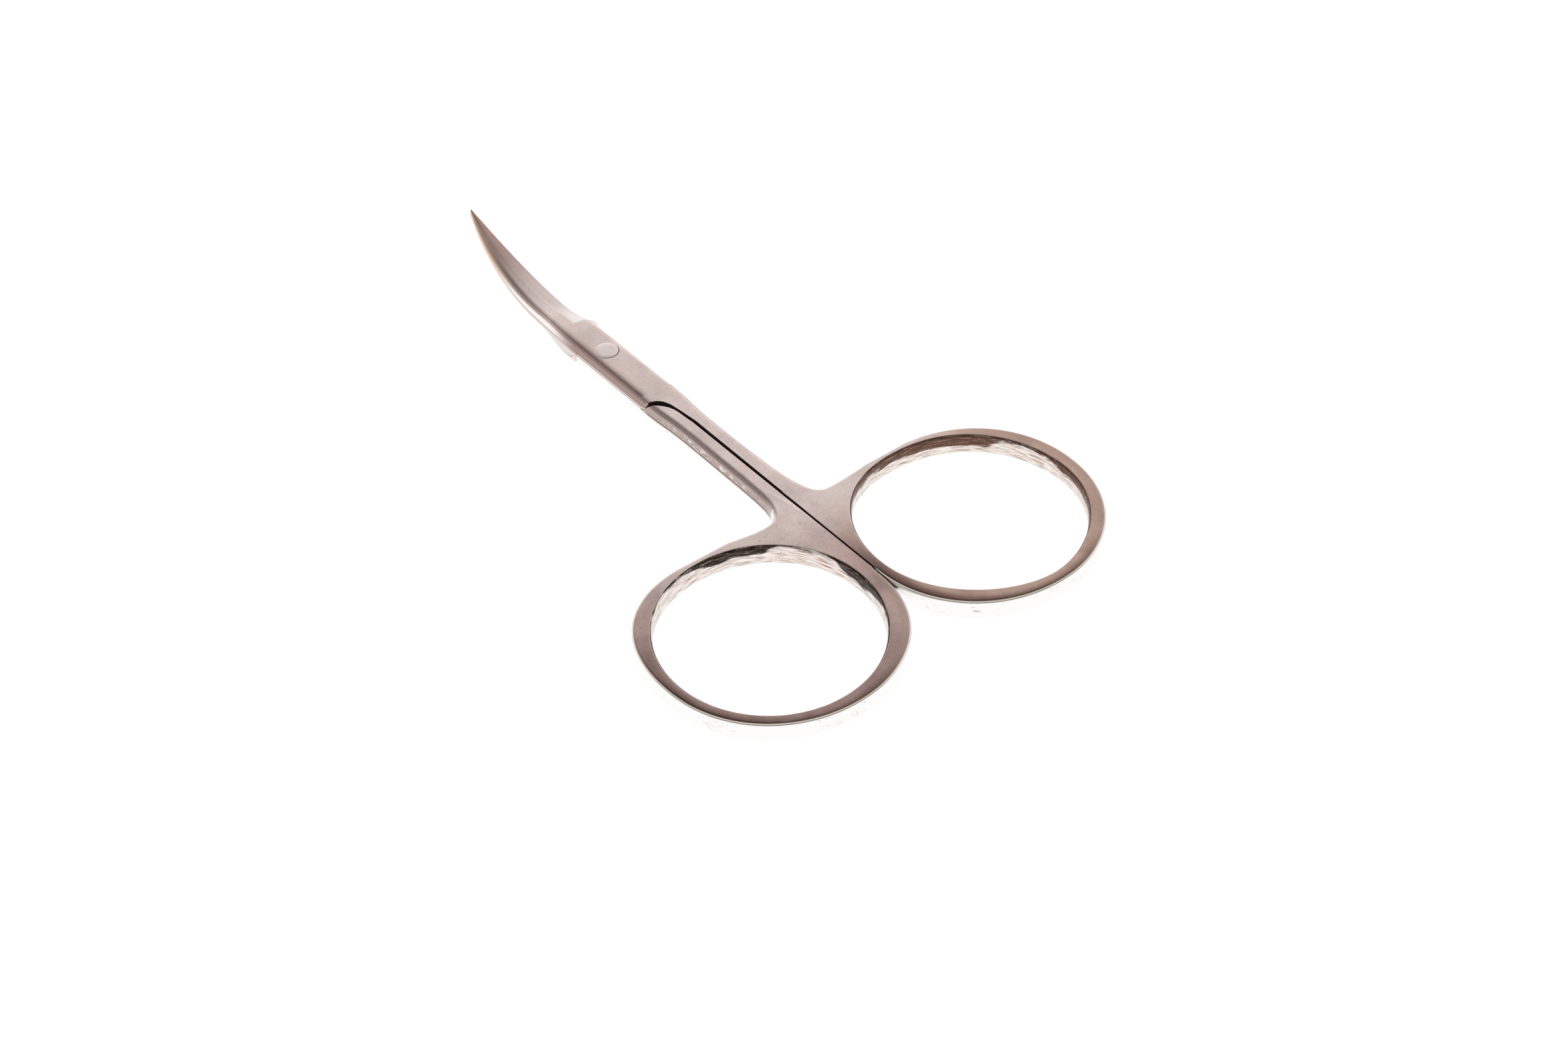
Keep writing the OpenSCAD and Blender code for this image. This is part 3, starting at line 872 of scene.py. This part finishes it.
def shank_sides(s, above, lumps):
    """Tones from the parting line (above = 0) to the flat (1), darker just below the flat as
    painted shade, with bright mottling that is a painted reflection.
    """
    level = s.line(s.math("SUBTRACT", lumps, 0.5), 0.08, above)
    # just below the flat (0.80 to 0.93) the tones are darker: painted shade
    tone = s.ramp(level, [
        (0.0, warm(0.18, 1.8)), (0.09, warm(0.24, 1.5)), (0.17, (0.42, 0.33, 0.29)),
        (0.6, (0.50, 0.41, 0.38)), (0.80, (0.38, 0.28, 0.25)), (0.93, (0.42, 0.31, 0.28)),
        (1.0, (0.70, 0.56, 0.51))])
    # bright mottling: a painted reflection, broken up by lumps
    mottled = s.times(s.step(lumps, 0.47, 0.66), s.step(above, 0.75, 0.55),
                      s.along(-13, -16), s.along(-34, -24), s.step(above, 0.12, 0.3))
    tone = s.mixed(tone, (0.88, 0.81, 0.78), mottled)
    # a near-white patch on the side by the web corner, broken up by lumps
    bright_patch = s.times(s.spot(-35.3, 3.4, 1.7, 0.5), s.step(lumps, 0.42, 0.54))
    return s.mixed(tone, (1.0, 0.98, 0.96), bright_patch)


def ring_sides(s, scuff):
    """Outer walls in a near-white painted reflection of the floor, under a thin brown edge with a
    thin painted highlight; on the near arcs a wider painted highlight and painted shade at the
    edge.
    """
    # near-white painted reflection of the floor, a brown edge and a thin painted highlight
    plain = s.ramp(s.rim, [
        (0.0, FLOOR_REFLECTION), (0.84, FLOOR_REFLECTION), (0.90, (0.66, 0.48, 0.38)), (0.95, (0.98, 0.93, 0.90)),
        (1.0, (0.70, 0.52, 0.44))])
    # near arcs: a painted highlight band, then painted shade at the edge
    painted_near_edge = s.ramp(s.rim, [
        (0.0, FLOOR_REFLECTION), (0.76, FLOOR_REFLECTION), (0.82, (0.52, 0.34, 0.22)), (0.87, (1.0, 0.93, 0.84)),
        (0.93, (1.0, 0.93, 0.84)), (0.955, (0.16, 0.09, 0.06)), (1.0, NEAR_EDGE_SHADE)])
    tone = s.mixed(plain, painted_near_edge, s.near_arc_painted)
    return s.mixed(tone, (0.50, 0.43, 0.38), s.times(scuff, s.step(s.rim, 0.86, 0.8)))


def blade_sides(s):
    """A near-white band, a painted reflection of the floor, between dark edges, golden near the
    tip; darker beside the pivot, with a near-white painted reflection towards the cutting side.
    """
    # the near-white band (0.17 to 0.60) is a painted reflection of the floor
    blade = s.ramp(s.rim, [
        (0.0, (0.45, 0.24, 0.13)), (0.10, (0.58, 0.36, 0.24)), (0.17, BLADE_FLOOR_REFLECTION),
        (0.60, BLADE_FLOOR_REFLECTION), (0.74, (0.62, 0.46, 0.40)), (0.88, (0.60, 0.45, 0.40)),
        (1.0, (0.80, 0.62, 0.56))])
    gold = s.times(s.along(15, 22), s.step(s.rim, 0.8, 0.6), 0.9)
    blade = s.mixed(blade, (0.86, 0.56, 0.38), gold)
    # the near-white line (0.12) is a painted reflection of the floor
    root = s.ramp(s.rim, [
        (0.0, (0.42, 0.27, 0.19)), (0.06, (0.55, 0.40, 0.31)), (0.12, PIVOT_FLOOR_REFLECTION),
        (0.24, (0.38, 0.27, 0.25)), (0.5, (0.40, 0.28, 0.26)), (1.0, (0.46, 0.32, 0.29))])
    tone = s.mixed(root, blade, s.along(3, 9))
    # towards the cutting side: near-white painted reflection of the floor
    return s.mixed(tone, PIVOT_FLOOR_REFLECTION, s.step(s.spine, -0.2, -0.5))


def side_steel():
    """Forged sides: dark near the flats, on the shanks as painted shade; a bright mottled painted
    reflection below; a brown parting line; a near-white painted reflection of the floor beneath.
    """
    s = Steel("forged_side_steel")
    lumps = s.noise(s.scaled(s.place, (0.5, 1.0, 1.0)), 2400, 4, 0.6)
    fine = s.noise(s.place, 6000, 3, 0.6)
    lines = s.streaks(500, 7000, 1.3)
    above = s.line(s.math("ADD", s.level, PARTING), 1 / (1 + PARTING), 0.0)
    patchy = s.step(s.noise(s.shifted(s.place, 8.1), 330, 3), 0.54, 0.64)
    scuff = s.times(s.step(lines, 0.52, 0.62), patchy, s.step(lumps, 0.46, 0.6))
    top = s.mixed(shank_sides(s, above, lumps), blade_sides(s), s.along(*BLADE_TONES))
    top = s.mixed(top, ring_sides(s, scuff), s.on_ring)

    # beneath the parting line: near-white painted reflection of the floor, with darker scuffs
    under = s.mixed(FLOOR_REFLECTION, (0.60, 0.54, 0.50), s.times(scuff, s.line(s.on_ring, 0.7, 0.3)))
    keel = s.times(s.step(s.level, -0.86, -0.93), s.along(1, 4))
    under = s.mixed(under, (0.40, 0.27, 0.20), keel)
    on_shank = s.times(s.along(JOIN_X, JOIN_X - 1), s.step(s.on_ring, 0.6, 0.3))
    tone = s.mixed(top, under, s.step(s.line(on_shank, PARTING, s.level), 0.0, -0.03))
    tone = s.mixed(tone, (0.08, 0.06, 0.05), s.times(s.pits(3000, 0.22, 0.9), 0.6))
    rough = s.line(s.on_ring, -0.08, s.line(fine, 0.14, 0.2))
    height = s.line(lumps, 0.9, s.times(fine, 0.3))
    height = s.times(height, s.line(s.on_ring, -0.9, 1.0))
    return s.done(tone, rough, height, 0.22)


def wall_steel(name, tarnish_and_shade, reach, glints):
    """Ring walls left rough from filing: darkened from the upper rim down, partly by tarnishing
    and partly as painted shade; below, brown and pale streaks, the pale ones a painted reflection
    of the floor; painted glints, and a thin painted highlight at both rims.

    reach gives, by angle round the ring in degrees, how far down the wall the darkening comes (1
    at the upper rim, -1 at the lower one), and glints the angles between which the painted glints
    lie.
    """
    s = Steel(name)
    lines = s.noise(s.scaled(s.round, (420, 1, 9500)), 1.0, 5, 0.65)
    wide = s.noise(s.scaled(s.round, (260, 1, 1300)), 1.0, 4, 0.6)
    grit = s.noise(s.place, 5200, 4, 0.65)
    turn = s.line(s.angle, 0.5 / math.pi, 0.5)
    start = s.ramp(turn, [(a / 360 + 0.5, (r + 1) / 2) for a, r in reach])
    start = s.line(start, 2.0, -1.0)
    level = s.line(s.math("SUBTRACT", wide, 0.5), 1.4, s.level)
    # dark band from the upper rim down: part tarnish, part painted shade
    band = s.step(s.math("SUBTRACT", level, start), -0.04, 0.2)
    tarnished_and_shaded = s.mixed(tarnish_and_shade, warm(0.30, 1.9), s.times(s.step(lines, 0.5, 0.62), 0.5))
    # brown and pale streaks below; the pale ones are a painted reflection of the floor
    bright = s.mixed(warm(0.40, 1.5), (0.97, 0.90, 0.85), s.step(lines, 0.40, 0.53))
    tone = s.mixed(bright, tarnished_and_shaded, band)
    low, high = (a / 360 + 0.5 for a in glints)
    here = s.times(s.step(turn, low - 0.02, low + 0.02), s.step(turn, high + 0.02, high - 0.02))
    # painted glints between the given angles
    glint = s.times(s.step(lines, 0.52, 0.60), s.step(grit, 0.42, 0.55), s.line(here, 0.75, 0.2))
    tone = s.mixed(tone, (1.0, 0.99, 0.98), glint)
    tone = s.mixed(tone, (0.05, 0.035, 0.03), s.times(s.pits(2600, 0.25, 0.9), 0.85))
    # thin painted highlight along both rims
    tone = s.mixed(tone, warm(0.95), s.step(s.rim, 0.972, 0.985))
    rough = s.line(grit, 0.2, 0.18)
    height = s.line(lines, 1.2, s.times(grit, 0.5))
    return s.done(tone, rough, height, 0.45)


def gap_steel():
    """Near-black painted shade on the faces of the split, the heel and the shoulder, standing for
    the shade deep in the narrow gap, with grit; near white where the rings part.
    """
    s = Steel("painted_shade_in_the_gap")
    grit = s.noise(s.place, 4000, 4, 0.6)
    # near-black painted shade, standing for the shade in the narrow gap
    tone = s.mixed((0.016, 0.007, 0.004), (0.08, 0.036, 0.020), s.step(grit, 0.45, 0.75))
    tone = s.mixed(tone, (0.95, 0.92, 0.90), s.along(-48.4, -49.6))
    return s.done(tone, s.line(grit, 0.2, 0.55), grit, 0.3, 0.0)


def inner_steel():
    """Inner faces of the blades, hollow ground across their length, with a strip at the edge,
    polished by honing, that is painted near white, less metallic and glowing: a painted highlight.
    """
    s = Steel("ground_inner_steel")
    fine = s.noise(s.place, 3600, 4, 0.6)
    stripes = s.cross_stripes()
    cloud = s.noise(s.place, 380, 3, 0.5)
    tone = s.mixed(warm(0.76, 0.2), warm(0.88, 0.1), s.step(cloud, 0.35, 0.65))
    tone = s.mixed(tone, warm(0.58, 0.3), s.times(s.step(stripes, 0.55, 0.75), 0.3))
    # painted highlight on the strip at the edge: near white, little metal, and a faint glow
    honed_highlight = s.times(s.step(s.spine, -0.80, -0.90), s.along(2, 3))
    tone = s.mixed(tone, (1.0, 0.95, 0.93), honed_highlight)
    tone = s.mixed(tone, (0.46, 0.30, 0.22), s.times(honed_highlight, s.step(s.level, 0.12, 0.2)))
    rough = s.line(fine, 0.12, 0.18)
    height = s.line(stripes, 0.7, s.times(fine, 0.3))
    glow = s.mixed((0, 0, 0), tone, honed_highlight)
    return s.done(tone, rough, height, 0.15, s.line(honed_highlight, -0.9, 1.0), glow)


def rivet_steel():
    """Turned rivet head, with a dark rim on the side away from the light."""
    s = Steel("rivet_head_steel")
    away = s.length(s.x, s.y)
    fine = s.noise(s.place, 3000, 4, 0.65)
    cloud = s.noise(s.place, 900, 3, 0.5)
    rings = s.add("ShaderNodeCombineXYZ", X=s.times(away, 9000)).outputs[0]
    tone = s.mixed((0.94, 0.80, 0.76), (1.0, 0.88, 0.84), s.step(cloud, 0.4, 0.65))
    shade = s.step(s.line(s.x, -0.96, s.times(s.y, -0.28)), 0.0, 1.1 * MM)
    rim = s.times(shade, s.step(away, 1.38 * MM, 1.44 * MM))
    tone = s.mixed(tone, warm(0.14, 1.0), rim)
    rough = s.line(fine, 0.12, 0.2)
    height = s.line(s.noise(rings, 1.0, 3, 0.6), 0.3, s.times(fine, 0.4))
    return s.done(tone, rough, height, 0.15)


# tarnishing and painted shade of the ring walls: angle in degrees and how far down the wall they
# come
LOWER_REACH = [(-180, 0.7), (-112, 0.6), (-97, 0.0), (-80, -0.1), (-66, 0.9), (-42, 0.8),
               (-33, 0.1), (-8, 0.05), (6, 0.65), (30, 0.8), (180, 0.7)]
UPPER_REACH = [(-180, 0.6), (-60, 0.6), (-25, 0.25), (2, 0.1), (20, -0.25), (48, -0.25),
               (57, 0.7), (80, 0.65), (92, 0.1), (130, 0.3), (180, 0.5)]
flat, side, gap, inner = flat_steel(), side_steel(), gap_steel(), inner_steel()
lower_wall = wall_steel("filed_wall_blackened_and_shaded", (0.030, 0.021, 0.015), LOWER_REACH, (2, 28))
upper_wall = wall_steel("filed_wall_browned_and_shaded", (0.13, 0.065, 0.045), UPPER_REACH, (54, 84))
for piece, wall in ((lower, lower_wall), (upper, upper_wall)):
    kinds = [p.material_index for p in piece.data.polygons]
    piece.data.materials.clear()
    # in the order of FLAT, SIDE, WALL, GAP and INNER
    for mat in (flat, side, wall, gap, inner):
        piece.data.materials.append(mat)
    piece.data.polygons.foreach_set("material_index", kinds)
rivet.data.materials.clear()
rivet.data.materials.append(rivet_steel())

# ---------------------------------------------------------------- floor, light and camera
# metres, a little below the part
FLOOR_SIZE, FLOOR_Z = 3.0, -0.00005


def white_floor():
    """Pale paper that takes a soft shadow, and looks plain white in the steel."""
    mat = bpy.data.materials.new("white_floor")
    mat.use_nodes = True
    n = Nodes(mat.node_tree)
    paper = n.add("ShaderNodeBsdfPrincipled", Base_Color=(0.34, 0.34, 0.34), Roughness=0.9,
                  Specular_IOR_Level=0.0, Emission_Color=(1, 1, 1), Emission_Strength=0.90)
    plain = n.add("ShaderNodeEmission", Color=(1, 1, 1), Strength=1.0)
    rays = n.add("ShaderNodeLightPath").outputs
    in_steel = n.math("MAXIMUM", rays["Is Glossy Ray"], rays["Is Transmission Ray"])
    seen = n.add("ShaderNodeMixShader", i0=in_steel, i1=paper.outputs[0], i2=plain.outputs[0])
    n.add("ShaderNodeOutputMaterial", Surface=seen.outputs[0])
    return mat


floor = mesh_object("floor", [(x * FLOOR_SIZE, y * FLOOR_SIZE, FLOOR_Z)
                              for x, y in ((-1, -1), (1, -1), (1, 1), (-1, 1))], [(0, 1, 2, 3)])
floor.data.materials.append(white_floor())

# directions of the photograph's far side and right side, level with the floor
FAR = Vector((0.7722, -0.6354, 0.0))
RIGHT = Vector((-0.6354, -0.7722, 0.0))
# level of the sky by height: a bright backdrop far off, a dim room behind the camera, and a
# dark patch high on the left
FAR_SKY = [(0.0, 0.96), (0.35, 0.94), (0.55, 0.80), (0.67, 0.76), (0.75, 0.69), (0.81, 0.56),
           (0.88, 0.48), (1.0, 0.42)]
NEAR_SKY = [(0.0, 0.14), (0.08, 0.22), (0.2, 0.46), (0.45, 0.62), (0.7, 0.52), (1.0, 0.46)]
PATCH_AT = (0.36 * FAR - 0.50 * RIGHT + Vector((0, 0, 0.79))).normalized()
PATCH_EDGE, PATCH_CORE, PATCH_LEVEL = 0.76, 0.96, 0.5


def studio_world():
    """White to the camera, and a soft studio to everything else."""
    world = bpy.data.worlds.new("studio")
    world.use_nodes = True
    n = Nodes(world.node_tree)
    direction = n.add("ShaderNodeTexCoord").outputs["Generated"]
    up = n.dot(direction, (0, 0, 1))
    far = n.step(n.dot(direction, FAR), -0.15, 0.35)
    sky = n.mixed(n.ramp(up, NEAR_SKY), n.ramp(up, FAR_SKY), far)
    patch = n.step(n.dot(direction, PATCH_AT), PATCH_EDGE, PATCH_CORE, 1.0, PATCH_LEVEL)
    patch = n.add("ShaderNodeCombineColor", Red=patch, Green=patch, Blue=patch).outputs[0]
    sky = n.mixed(sky, patch, 1.0, "MULTIPLY")
    to_camera = n.add("ShaderNodeLightPath").outputs["Is Camera Ray"]
    white = n.add("ShaderNodeBackground", Color=(1, 1, 1), Strength=1.0)
    studio = n.add("ShaderNodeBackground", Color=sky, Strength=1.0)
    both = n.add("ShaderNodeMixShader", i0=to_camera, i1=studio.outputs[0], i2=white.outputs[0])
    n.add("ShaderNodeOutputWorld", Surface=both.outputs[0])
    return world


bpy.context.scene.world = studio_world()

# the photograph's view: eye and axes found by fitting the rings, split line and tip
EYE = Vector((-0.22658, 0.15911, 0.22777))
BACK = Vector((-0.56986, 0.46892, 0.67482))
ACROSS = Vector((-0.63540, -0.77218, 0.0))
FOCAL_PIXELS, WIDE_PIXELS, SENSOR = 4500.0, 2361.0, 36.0
camera = bpy.data.objects.new("camera", bpy.data.cameras.new("camera"))
bpy.context.scene.collection.objects.link(camera)
bpy.context.scene.camera = camera
camera.data.sensor_width = SENSOR
camera.data.lens = FOCAL_PIXELS / WIDE_PIXELS * SENSOR
camera.data.clip_start, camera.data.clip_end = 0.01, 20
axes = Matrix((ACROSS, BACK.cross(ACROSS), BACK)).transposed()
camera.matrix_world = Matrix.Translation(EYE) @ axes.to_4x4()

bpy.context.scene.view_settings.view_transform = "Standard"
